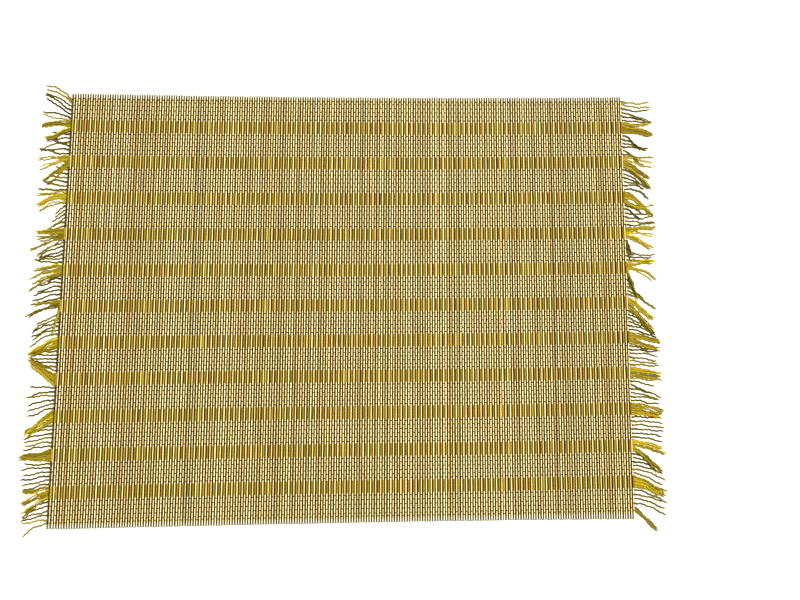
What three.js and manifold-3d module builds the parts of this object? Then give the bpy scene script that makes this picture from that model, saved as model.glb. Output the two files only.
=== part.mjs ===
// A woven placemat: thin wooden slats lie side by side and golden warp threads run across them.
// The threads lie single in the pale strips and packed together in the golden bands, and their
// loose ends are the fringe at the left and right edges.
// Units are millimetres. +X runs along the threads, +Y along the slats, +Z up. The origin is on
// the table, under the middle of the mat and its fringes.
import * as THREE from "three";
import { mergeVertices } from "three/addons/utils/BufferGeometryUtils.js";
import Module from "manifold-3d";

const wasm = await Module();
wasm.setup();

// Driving sizes of the woven body
const MAT_WIDTH = 430;
const SLAT_LENGTH = 326;
const SLAT_COUNT = 230;
const SLAT_WIDTH = 1.3;
const SLAT_THICKNESS = 1.6;
const SLAT_PITCH = (MAT_WIDTH - SLAT_WIDTH) / (SLAT_COUNT - 1);
const HALF_WIDTH = MAT_WIDTH / 2;
const HALF_LENGTH = SLAT_LENGTH / 2;

// How far the mat is out of square: the slats lean to the right at the top, those at the left
// lean most, and the trimmed ends bow outwards towards the corners.
const SLAT_LEAN = 3.3;
const LEAN_FAN = 1.35;
const END_BOW = 1.6;
const TRIM_UNEVENNESS = 0.35;
const PLACING_UNEVENNESS = 0.05;

// The woven core that joins the slats at the middle of their thickness
const CORE_BOTTOM = 0.5;
const CORE_TOP = 1.1;

// The warp: golden bands of packed threads, with a strip of single threads on each side of them
const BAND_PERIOD = 27.53;
const TOP_BAND_Y = 138;
const BAND_SHIFTS = [1, 0.4, -0.1, -0.8, -1.1, -0.3, 0.1, 0.5, 0.3, -0.1, 0.2];
const BAND_COUNT = BAND_SHIFTS.length;
const BAND_WIDTH = 8.5;
const THREADS_PER_BAND = 10;
const BAND_LIFT = 0.3;
const BAND_BASE = 0.12;
const BAND_RIDGE = 0.24;
const SINGLES_PER_STRIP = 6;
const EDGE_STRIP_PITCH = 3.25;
const SELVEDGE_PITCH = 2.2;
const BAND_TO_SINGLE = 2.1;

// The fringe strands lie on the table, each with a three-sided section
const LOCKS_PER_BAND = 5;
const LOCK_WIDTH = 0.9;
const SINGLE_WIDTH = 0.7;
const STRAND_HEIGHT = 0.75;
const STRAND_STEPS = 3;
const TIP_CLEARANCE = 1.7;
const PARTING_PASSES = 400;
const REACH_UNEVENNESS = 1.5;
const END_SLOPE = 1.3;
const STRAND_WAVE = 0.5;
const WAVE_LENGTH = 19;

// A row for each band from the top down, and one for the strip under the last band. It says how
// far the tips lie outwards, and how far they swing up (+) or down (-) from where they leave the
// mat: those of the single threads above the band, of its uppermost lock and of its lowest lock.
const LEFT_FRINGE = [
  { reach: 21, singles: 9.5, upper: 0, lower: -7 },
  { reach: 21.5, singles: -4, upper: -4, lower: -12 },
  { reach: 21, singles: -7, upper: -6.5, lower: -6 },
  { reach: 22, singles: -4, upper: -4, lower: -10.5 },
  { reach: 22.5, singles: -7, upper: -3, lower: -10.5 },
  { reach: 23, singles: -7, upper: -2, lower: -11 },
  { reach: 21.5, singles: -8, upper: -7, lower: -8 },
  { reach: 20.5, singles: 0, upper: 8, lower: 10 },
  { reach: 20.5, singles: -2, upper: -8, lower: -10 },
  { reach: 21.5, singles: -6, upper: -3, lower: 1 },
  { reach: 20.5, singles: -2, upper: -4, lower: -11 },
  { reach: 19.5, singles: -7.5 },
];
const RIGHT_FRINGE = [
  { reach: 25, singles: -1.5, upper: -3.5, lower: -5 },
  { reach: 25, singles: -5.5, upper: -3, lower: -14 },
  { reach: 24.5, singles: -10, upper: -8, lower: -9 },
  { reach: 25, singles: -3, upper: -2, lower: -8 },
  { reach: 25, singles: -5, upper: 0, lower: -11 },
  { reach: 24, singles: -10, upper: -12, lower: -16 },
  { reach: 24.5, singles: -13, upper: -5, lower: -6 },
  { reach: 26, singles: -2.5, upper: -2, lower: -3 },
  { reach: 26, singles: -6, upper: -4, lower: -4 },
  { reach: 26, singles: -2.5, upper: -5, lower: -13 },
  { reach: 25.5, singles: -10, upper: -9, lower: -10 },
  { reach: 23.5, singles: -11 },
];

const wood = new THREE.MeshStandardMaterial({ color: 0xf2e3a6, roughness: 0.55, metalness: 0 });
const thread = new THREE.MeshStandardMaterial({ color: 0xb3930f, roughness: 0.85, metalness: 0 });

// A repeatable stream of numbers from 0 to 1.
function numbers(seed) {
  let state = seed;
  return () => {
    state = (state * 1664525 + 1013904223) % 4294967296;
    return state / 4294967296;
  };
}

// A solid from a closed three.js geometry.
function solid(geometry) {
  const bare = geometry.index ? geometry.toNonIndexed() : geometry.clone();
  bare.deleteAttribute("normal");
  bare.deleteAttribute("uv");
  const merged = mergeVertices(bare, 1e-4);
  return new wasm.Manifold(
    new wasm.Mesh({
      numProp: 3,
      vertProperties: merged.attributes.position.array,
      triVerts: new Uint32Array(merged.index.array),
    }),
  );
}

// A named mesh of a solid.
function part(name, body, material) {
  const mesh = body.getMesh();
  const geometry = new THREE.BufferGeometry();
  geometry.setAttribute("position", new THREE.BufferAttribute(mesh.vertProperties, mesh.numProp));
  geometry.setIndex(new THREE.BufferAttribute(mesh.triVerts, 1));
  geometry.computeVertexNormals();
  const made = new THREE.Mesh(geometry, material);
  made.name = name;
  return made;
}

// How far the slat at x has moved sideways at height y on the mat.
function lean(x, y) {
  return (SLAT_LEAN - (LEAN_FAN * x) / HALF_WIDTH) * (y / HALF_LENGTH);
}

// The middle of slat number i, half-way along it.
function slatX(i) {
  return -HALF_WIDTH + SLAT_WIDTH / 2 + i * SLAT_PITCH;
}

// The mean height of the trimmed slat ends at x, as a distance from the middle line.
function endY(x) {
  return HALF_LENGTH + END_BOW * (x / HALF_WIDTH) ** 2;
}

// One slat with its own trimmed ends, placed to within the given unevenness.
function slat(i, random, unevenness) {
  const x = slatX(i) + (random() - 0.5) * 2 * unevenness;
  const top = endY(x) + (random() - 0.5) * 2 * TRIM_UNEVENNESS;
  const bottom = -endY(x) + (random() - 0.5) * 2 * TRIM_UNEVENNESS;
  const box = new THREE.BoxGeometry(SLAT_WIDTH, top - bottom, SLAT_THICKNESS);
  box.translate(0, (top + bottom) / 2, SLAT_THICKNESS / 2);
  box.rotateZ(-Math.atan(lean(x, HALF_LENGTH) / HALF_LENGTH));
  box.translate(x, 0, 0);
  return solid(box);
}

// The single threads of a strip between two bands, evenly spaced, from the top down.
function stripRows(upperBand, lowerBand) {
  const first = upperBand - BAND_WIDTH / 2 - BAND_TO_SINGLE;
  const last = lowerBand + BAND_WIDTH / 2 + BAND_TO_SINGLE;
  const pitch = (first - last) / (SINGLES_PER_STRIP - 1);
  return Array.from({ length: SINGLES_PER_STRIP }, (_, i) => first - i * pitch);
}

// The single threads between the outermost band and the mat's edge, from the band outwards. The
// last two lie closer together, as a selvedge.
function edgeStripRows(band, direction) {
  const first = band + direction * (BAND_WIDTH / 2 + BAND_TO_SINGLE);
  return Array.from({ length: SINGLES_PER_STRIP }, (_, i) => {
    const isLast = i === SINGLES_PER_STRIP - 1;
    const offset = isLast ? (i - 1) * EDGE_STRIP_PITCH + SELVEDGE_PITCH : i * EDGE_STRIP_PITCH;
    return first + direction * offset;
  });
}

const bandYs = BAND_SHIFTS.map((shift, k) => TOP_BAND_Y - k * BAND_PERIOD + shift);
const singleYs = [
  ...edgeStripRows(bandYs[0], 1).reverse(),
  ...bandYs.slice(1).flatMap((y, k) => stripRows(bandYs[k], y)),
  ...edgeStripRows(bandYs[BAND_COUNT - 1], -1),
];

// The body of the mat: every slat but the outermost two, on the woven core.
function slatPanel() {
  const random = numbers(7);
  const coreTop = singleYs[0] + SINGLE_WIDTH / 2;
  const coreBottom = singleYs[singleYs.length - 1] - SINGLE_WIDTH / 2;
  const first = slatX(1);
  const last = slatX(SLAT_COUNT - 2);
  const outline = new THREE.Shape([
    new THREE.Vector2(first + lean(first, coreBottom), coreBottom),
    new THREE.Vector2(last + lean(last, coreBottom), coreBottom),
    new THREE.Vector2(last + lean(last, coreTop), coreTop),
    new THREE.Vector2(first + lean(first, coreTop), coreTop),
  ]);
  const core = new THREE.ExtrudeGeometry(outline, { depth: CORE_TOP - CORE_BOTTOM, bevelEnabled: false });
  core.translate(0, 0, CORE_BOTTOM);
  let body = solid(core);
  for (let i = 1; i < SLAT_COUNT - 1; i++) {
    const endsCore = i === 1 || i === SLAT_COUNT - 2;
    body = body.add(slat(i, random, endsCore ? 0 : PLACING_UNEVENNESS));
  }
  return part("slat_panel", body, wood);
}

// A golden band: packed threads with a ridge for each, lying over the slats.
function warpBand(y, number) {
  const shape = new THREE.Shape();
  const ridge = BAND_WIDTH / THREADS_PER_BAND;
  const floor = SLAT_THICKNESS + BAND_LIFT;
  shape.moveTo(-BAND_WIDTH / 2, floor);
  shape.lineTo(BAND_WIDTH / 2, floor);
  shape.lineTo(BAND_WIDTH / 2, floor + BAND_BASE);
  for (let t = THREADS_PER_BAND - 1; t >= 0; t--) {
    const side = -BAND_WIDTH / 2 + t * ridge;
    shape.lineTo(side + ridge / 2, floor + BAND_BASE + BAND_RIDGE);
    shape.lineTo(side, floor + BAND_BASE);
  }
  const left = -HALF_WIDTH + lean(-HALF_WIDTH, y);
  const right = HALF_WIDTH + lean(HALF_WIDTH, y);
  const band = new THREE.ExtrudeGeometry(shape, { depth: right - left, bevelEnabled: false });
  // The section was drawn across the band, so its first axis turns to +Y and its second to +Z.
  band.rotateX(Math.PI / 2);
  band.rotateZ(Math.PI / 2);
  band.translate(left, y, 0);
  return part(`warp_band_${String(number).padStart(2, "0")}`, solid(band), thread);
}

// The roots and aims of one side's strands, from the top down.
function strandList(table) {
  const lockPitch = BAND_WIDTH / LOCKS_PER_BAND;
  const strands = [];
  table.forEach((row, k) => {
    for (const y of singleYs.slice(k * SINGLES_PER_STRIP, (k + 1) * SINGLES_PER_STRIP)) {
      strands.push({ y, reach: row.reach, tip: y + row.singles, width: SINGLE_WIDTH });
    }
    if (k === BAND_COUNT) return;
    for (let lock = 0; lock < LOCKS_PER_BAND; lock++) {
      const y = bandYs[k] + BAND_WIDTH / 2 - (lock + 0.5) * lockPitch;
      const swing = THREE.MathUtils.lerp(row.upper, row.lower, lock / (LOCKS_PER_BAND - 1));
      strands.push({ y, reach: row.reach, tip: y + swing, width: LOCK_WIDTH });
    }
  });
  return strands;
}

// Moves tips that would meet or cross apart, each pair by half of what it lacks.
function partTips(strands) {
  for (let pass = 0; pass < PARTING_PASSES; pass++) {
    for (let i = 1; i < strands.length; i++) {
      const lack = TIP_CLEARANCE - (strands[i - 1].tip - strands[i].tip);
      if (lack <= 0) continue;
      strands[i - 1].tip += lack / 2;
      strands[i].tip -= lack / 2;
    }
  }
  return strands;
}

// One strand on the table, from inside the edge slat to its tip. A longer strand than its
// neighbours keeps their slope, so it doesn't meet them.
function strand(side, { y, reach, tip, width }, length) {
  const edge = side * HALF_WIDTH + lean(side * HALF_WIDTH, y);
  const swing = tip - y;
  const endSwing = swing * (1 + END_SLOPE * (length / reach - 1));
  const wave = STRAND_WAVE * Math.sin((2 * Math.PI * y) / WAVE_LENGTH);
  const route = new THREE.CatmullRomCurve3([
    new THREE.Vector3(edge - (side * SLAT_WIDTH) / 2, y, 0),
    new THREE.Vector3(edge + side * reach * 0.3, y + swing * 0.16 + wave, 0),
    new THREE.Vector3(edge + side * reach * 0.65, y + swing * 0.55 - wave, 0),
    new THREE.Vector3(edge + side * length, y + endSwing, 0),
  ]);
  // The path's first section axis points down and its second sideways.
  const section = new THREE.Shape([
    new THREE.Vector2(0, -width / 2),
    new THREE.Vector2(0, width / 2),
    new THREE.Vector2(-STRAND_HEIGHT, 0),
  ]);
  return solid(new THREE.ExtrudeGeometry(section, { steps: STRAND_STEPS, extrudePath: route }));
}

// The fringe on one side (-1 is left, 1 is right), rooted in the outermost slat.
function fringe(name, side, table, seed) {
  const random = numbers(seed);
  let body = slat(side < 0 ? 0 : SLAT_COUNT - 1, random, 0);
  for (const aim of partTips(strandList(table))) {
    const length = aim.reach + (random() - 0.5) * 2 * REACH_UNEVENNESS;
    body = body.add(strand(side, aim, length));
  }
  return part(name, body, thread);
}

const placemat = new THREE.Group();
placemat.name = "placemat";
placemat.add(slatPanel());
bandYs.forEach((y, k) => placemat.add(warpBand(y, k + 1)));
placemat.add(fringe("fringe_left", -1, LEFT_FRINGE, 21));
placemat.add(fringe("fringe_right", 1, RIGHT_FRINGE, 43));

export default placemat;
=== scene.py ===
"""A flat placemat of thin wooden slats, woven together with golden cotton threads."""

import math
import random
from bisect import bisect
from collections import namedtuple

import bmesh
import bpy
from bpy.props import FloatProperty, FloatVectorProperty, IntProperty, PointerProperty
from mathutils import Matrix, Vector, noise


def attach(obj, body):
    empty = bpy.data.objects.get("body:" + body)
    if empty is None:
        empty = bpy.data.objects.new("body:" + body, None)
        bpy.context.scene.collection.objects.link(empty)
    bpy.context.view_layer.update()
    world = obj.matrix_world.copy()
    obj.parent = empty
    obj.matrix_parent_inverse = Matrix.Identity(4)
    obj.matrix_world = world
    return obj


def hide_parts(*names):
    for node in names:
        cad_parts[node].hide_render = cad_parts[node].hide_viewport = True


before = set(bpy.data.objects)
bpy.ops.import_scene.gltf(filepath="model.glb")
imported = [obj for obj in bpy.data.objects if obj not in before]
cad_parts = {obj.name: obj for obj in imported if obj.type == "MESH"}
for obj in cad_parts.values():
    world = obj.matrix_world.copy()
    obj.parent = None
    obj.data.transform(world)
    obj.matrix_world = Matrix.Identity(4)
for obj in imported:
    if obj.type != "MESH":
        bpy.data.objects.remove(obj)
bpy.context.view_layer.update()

bl_info = {
    "name": "Woven slat placemat",
    "version": (1, 0, 0),
    "blender": (4, 5, 0),
    "location": "3D View > Sidebar > Placemat",
    "description": "Makes the slats, warp threads and fringes of a woven placemat",
    "category": "Add Mesh",
}

MM = 0.001
BODY = "root"
PANEL_NODE = "slat_panel"
BAND_NODE = "warp_band_{:02d}"
FRINGE_NODES = {-1: "fringe_left", 1: "fringe_right"}

# Seeds of the random draws, so that they give the same numbers each time
SLAT_SEED = 17
TONE_SEED = 29
STRIP_SEED = 31
BAND_SEED = 37
FRINGE_SEEDS = {-1: 41, 1: 42}

# Points this close become one, and edges sharper than this angle stay sharp in the shading
JOIN_DISTANCE = 1e-7
SHARP_ANGLE = math.radians(62)

# How far each golden band lies from its even place, in millimetres, from the top band down
BAND_SHIFTS = (0.9, 0.4, -0.5, -1.1, -1.3, -1.0, -0.6, -0.1, 0, -0.4, 0)

# The kinds of slat: how many in a hundred, and the wood's colour (linear)
SlatKind = namedtuple("SlatKind", "share colour")
SLAT_KINDS = (
    SlatKind(46, (0.98, 0.93, 0.56)),
    SlatKind(28, (0.97, 0.96, 0.70)),
    SlatKind(12, (0.95, 0.85, 0.60)),
    SlatKind(8, (0.78, 0.77, 0.48)),
    SlatKind(6, (0.82, 0.73, 0.42)),
)

# Slats that stand out: their number from the left, and their colour (linear)
ODD_SLATS = {
    6: (0.66, 0.48, 0.22),
    27: (0.66, 0.52, 0.24),
    93: (0.76, 0.66, 0.34),
    120: (0.76, 0.68, 0.40),
    198: (0.74, 0.63, 0.32),
    199: (0.80, 0.71, 0.40),
}

# How the slats differ: the ranges of width, thickness and shade are shares of the mean, and a
# slat and its two ends stray by up to so many millimetres
SLAT_WIDTHS = (0.9, 1.05)
SLAT_THICKNESSES = (0.94, 1.05)
SLAT_SHADES = (0.9, 1.06)
SLAT_STRAY = 0.09
LOW_END_STRAY = 0.15
HIGH_END_STRAY = 0.2
# The room between the dark strip of painted shade at the mat's left edge and the next slat
SHADE_STRIP_GAP = 0.15 * MM

# Smooth random waves: their depth, how fast they change across and up the mat, and which layer
# of the noise they take. Rows count across in metres, and slats by their number.
Waves = namedtuple("Waves", "depth across up layer")
SLAT_WAVES = Waves(0.13 * MM, 0.8, 22, 5.1)
ROW_WAVES = Waves(0.75 * MM, 7, 5, 2.3)

# A slat's long edges are rounded by this share of its thickness, in so many steps, and its length
# is cut so many times so that it can bend
SLAT_ROUNDING = 0.48
ROUNDING_STEPS = 2
SLAT_CUTS = 4

# A stitch lies flat this share of a slat's width to each side of its middle, and a thread of a
# golden band fills this share of its room
STITCH_REACH = 0.33
BAND_FILL = 0.98

# Tints (linear) that multiply the wood and the cotton: first in the dark and the pale parts of
# grain, patches, plies and fibres, then as painted shade on the sides of threads, on their left
# faces away from the light and where they dive between the slats
GRAIN_TINTS = ((0.68, 0.6, 0.46), (1.14, 1.12, 1.06))
PATCH_TINTS = ((0.9, 0.86, 0.78), (1.04, 1.04, 1.04))
PLY_TINTS = ((0.8, 0.77, 0.7), (1.12, 1.12, 1.08))
FIBRE_TINTS = ((0.82, 0.8, 0.76), (1.12, 1.12, 1.1))
WOVEN_SIDE_SHADE_TINT = (0.3, 0.25, 0.15)
LOOSE_SIDE_SHADE_TINT = (0.26, 0.22, 0.08)
LEFT_SHADE_TINT = (0.75, 0.5, 0.4)
DIVE_SHADE_TINT = (0.1, 0.07, 0.02)

# Where masks begin and where they are full. Edges and sides go by how level the surface is
# (1 is level), slat ends by the distance from the mat's middle line, and the left faces and the
# dives of stitches by the slope along the thread. The masks of edges, sides, left faces and dives
# place painted shade.
SLAT_EDGE_SHADE_MASK = (0.9995, 0.98)
SLAT_SIDE_SHADE_MASK = (0.993, 0.93)
WOVEN_SIDE_SHADE_MASK = (0.85, 0.25)
LOOSE_SIDE_SHADE_MASK = (0.93, 0.55)
SLAT_END_MASK = (0.1598, 0.1612)
LEFT_SHADE_MASK = (0.05, -0.3)
DIVE_SHADE_MASK = (0.34, 0.5)

# The cotton's tone (0 is olive, 0.5 golden and 1 brown) with its spread, and its shades
STITCH_TONE = 0.42
STITCH_TONE_SPREAD = 0.16
BAND_TONE_SPREAD = 0.14
BAND_SHADES = (0.78, 1.18)
SELVEDGE_TONES = (0, 0.5)
SELVEDGE_SHADES = (0.45, 0.75)
SINGLE_TONE = 0.4
SINGLE_GOLD_SHARES = (0, 0.25)
SINGLE_SHADES = (0.85, 1.15)

# The loose ends: how far each kind goes from its main colour to the other one, and its shades
SELVEDGE_END_SHARES = (0.3, 0.7)
SELVEDGE_END_SHADES = (0.8, 1.1)
BAND_END_SHARES = {-1: (0, 0.65), 1: (0, 0.45)}
BAND_END_SHADES = (0.5, 1.3)
SINGLE_END_SHARES = (0, 0.25)
SINGLE_END_SHADES = (0.75, 1.2)

# A loose strand leaves its slat at this share of the slat's width from the middle, and comes
# clear of it at the bend. The bend's height is the middle of the way down and a little more.
ROOT_SHARE = 0.2
BEND_REACH = 0.9 * MM
BEND_RISE = 0.1 * MM
STRAND_STEPS = 38

# A lock with more than FEW_THREADS keeps them together: its strands wave alike, each second one
# lies on top from STACKED_FROM of its reach on, and their lengths differ more
FEW_THREADS = 2
LOCK_PHASES = 0.7
LOCK_STACK = 0.55
STACKED_FROM = 2 / 3
SHORTEST_IN_LOCK = 0.84
SHORTEST_ALONE = 0.95
LONGEST = 1.03

# How far a strand strays at each third of its reach (in millimetres), the length from which the
# weave's waves are full, the length of one such wave (two slats), and of the slow waves
STRAND_STRAYS = (0.4, 0.7, 1.0)
CRIMP_START = 3 * MM
CRIMP_PITCH = 3.75 * MM
SWAY_PITCHES = (9, 15)

# A strand has an oval section, thinner in a golden band than alone, and tapers at its last points
STRAND_SIDES = 6
BAND_STRAND = 0.86
SINGLE_STRAND = 1.04
TIP_TAPER = (0.95, 0.85, 0.6)

# Frayed fibres are thinner than strands by FIBRE_SHARE and taper over their three points. Those
# along a strand start clear of its root and tip, run so far along and across it (as shares of the
# fibre length), and bow. Those at its tip turn from its heading by up to so many radians.
FIBRE_SHARE = 0.3
SIDE_FIBRES = 6
SIDE_FIBRE_TAPER = (0.4, 0.3, 0.15)
POINTS_CLEAR_OF_ROOT = 6
POINTS_CLEAR_OF_TIP = 4
FIBRE_ALONG = (0.3, 1)
FIBRE_ACROSS = (-0.8, 0.8)
FIBRE_BOW = (-0.35, 0.35)
FIBRE_LIFT = 0.15 * MM
TIP_FIBRES = 3
TIP_FIBRE_TAPER = (1, 0.8, 0.4)
TIP_FIBRE_TURN = (-0.55, 0.55)
TIP_FIBRE_LENGTHS = (0.4, 1)
TIP_FIBRE_STRAY = 0.3

# The camera's place in metres, its turn in degrees and its sensor in millimetres, and how close
# it sees and how far off the lamp stands, in metres
CAMERA_PLACE = (-0.00935, -0.09827, 0.75686)
CAMERA_TURN = (7.6366, -3.5896, -0.8384)
SENSOR_WIDTH = 36
NEAREST_VIEW = 0.01
LAMP_DISTANCE = 2

# A fringe lock gathers some threads, counted from the top of the edge down. It reaches out from
# the edge, passes third and two_thirds above (+) or below (-) its root, ends at tip, and draws
# its threads together to a width at the tip. A lift raises it over other locks. All but the
# count are in millimetres, and a width or lift of 0 may be left out.
Lock = namedtuple("Lock", "threads reach third two_thirds tip width lift", defaults=(0, 0))
LEFT_LOCKS = [Lock(*numbers) for numbers in (
    (2, 19, 5, 8.5, 10, 1.8), (1, 20, 3.5, 7.8, 10.3), (1, 20.2, 3.8, 8.8, 11.3), (1, 19.5, 3, 8.2, 12),
    (1, 21, 2.8, 4.6, 5.4), (1, 21.9, 1.8, 3.4, 4), (5, 22.6, 0.6, 0, -1, 2.6),
    (4, 18.5, -2, -5.6, -7.6, 3.4, 0.7), (1, 14, 0.3, 0.8, 0.6), (1, 15, -0.3, -0.2, 0.6),
    (1, 21.5, -0.8, -3, -7), (1, 12, 0.8, 2.4, 4, 0, 0.6), (1, 21.8, 0.4, 0.2, -0.2),
    (1, 21.4, 0.2, 2, 4.6, 0, 0.6), (2, 22.9, 0, -1.4, -1.6, 1.2), (3, 21, -1, -4.2, -6.8, 2.4),
    (3, 18.6, -3.4, -8.6, -12.4, 2, 0.7), (2, 15.6, -4.2, -9.4, -14, 1.6), (1, 9, 0.2, 0.8, 1.8),
    (1, 12, 0.3, 0.6, 0.4), (1, 13.5, 0.4, 0.9, 0.2), (1, 15, 0.4, 0.6, -0.4),
    (1, 19, 0.2, 1.4, 3.8, 0, 0.6), (1, 21.5, 0, 0.6, 1.6, 0, 0.6), (2, 21.4, 0.2, -0.6, -1.2, 1.6),
    (6, 22, 1, -1.2, -5.4, 2.2), (2, 19.8, 0.4, -2.2, -6.6, 1.6), (2, 8, -1.2, -3.2, -6, 1),
    (2, 10, -1.6, -4.2, -7, 1), (2, 13, -1, -3, -4.4, 1), (4, 21.6, -0.4, -0.8, -1, 2.8),
    (3, 21.8, -1, -2, -2.8, 2.6), (2, 24, -2.2, -5.4, -9.4, 1.2, 0.6),
    (1, 20.2, -3.2, -7.2, -12, 0, 0.6), (1, 20, -1.6, -4.4, -8.6), (1, 18.6, -1.8, -4.4, -7.8),
    (1, 18, -2.4, -4.2, -6.4), (1, 20, -1.2, -2.6, -4.2), (1, 21, -0.2, -0.8, -1.4),
    (1, 19.5, 0.2, 0.2, 0.4), (3, 20.9, -0.2, -1.4, -2.6, 2), (3, 24, -0.8, -2.6, -5.6, 2.2),
    (2, 22.2, -1.4, -4.6, -8.6, 1.4, 0.6), (2, 23.6, -1.8, -6.2, -11.6, 1.4), (1, 10, 0, -0.4, -1.2),
    (1, 16, 0, -0.8, -2.2), (1, 17.5, -0.4, -2, -4), (1, 20, -0.6, -2, -3.6), (1, 21, -1, -3, -5.2),
    (1, 22, -1.4, -3.4, -6), (3, 19.2, -0.2, -1, -1.6, 2.2), (3, 27, -1.2, -4.2, -8, 1.6),
    (4, 4.6, -4.6, -10, -15.6, 3, 0.9), (1, 17, -1.8, -4.6, -7.6), (1, 19, -1.8, -4.4, -7.8),
    (1, 20, -1.6, -4, -7), (1, 20.5, -1.4, -4.2, -8.2), (1, 19, -0.8, -3, -6.8),
    (1, 21, -1, -4.2, -8.8), (5, 22.3, -2.2, -6.6, -10.9, 2.2, 0.4), (5, 20.5, -1.8, -4.8, -7.6, 2.6),
    (1, 16, -0.4, -0.6, 0), (1, 18, -0.2, 0.4, 1.6), (1, 19.5, 0.2, 0.4, 0.6), (1, 20, 0.4, 0.8, 1.2),
    (1, 19, 0.8, 2.2, 4), (1, 18.5, 1.4, 3.6, 6.6), (5, 19.6, 2.8, 7.4, 11.6, 2.2),
    (5, 18.4, 3.2, 8.6, 13, 2.4, 0.6), (1, 18, 0.4, 0.6, 0.8), (1, 19, -0.2, -1.2, -2.8),
    (1, 20, -0.2, -0.4, -1), (1, 19, -0.8, -2.2, -4), (1, 20, -1.2, -3.2, -5.4),
    (1, 19.4, -1.6, -4, -6.6), (6, 21.5, -3.2, -8.8, -13.2, 2.6, 0.4),
    (4, 20.2, -2.8, -6.8, -10.4, 2.2), (1, 17, -1.2, -2.8, -4.8), (1, 19.5, -0.6, -1.6, -2.6),
    (1, 20, -0.8, -2, -3.4), (1, 20, -0.4, -1.4, -3), (1, 19.5, -0.4, -1.8, -4),
    (1, 20.4, -0.2, -1, -2.4), (10, 22.2, -0.8, -1.4, -1.2, 2.8), (1, 19, -0.4, -0.8, -1),
    (1, 20.5, -0.2, -0.6, -1.2), (1, 20, -0.8, -1.6, -2), (1, 20.8, -0.4, -1.6, -3.2),
    (1, 19, -1, -2.6, -4.2), (1, 19.6, -1, -2.6, -4.8), (3, 19.8, -0.4, -2, -3.8, 2),
    (4, 20.2, -1.6, -4.6, -7.8, 2.4), (3, 19.2, -2.6, -7, -11.4, 2, 0.6), (1, 17, -1.6, -4.2, -7),
    (1, 18.4, -1.4, -4, -7.2), (1, 18, -1.4, -3.4, -6), (1, 18.6, -1, -2.4, -4),
    (1, 18.2, -0.6, -1.6, -3.2), (1, 17.6, -1.8, -4.8, -9),
)]
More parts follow.
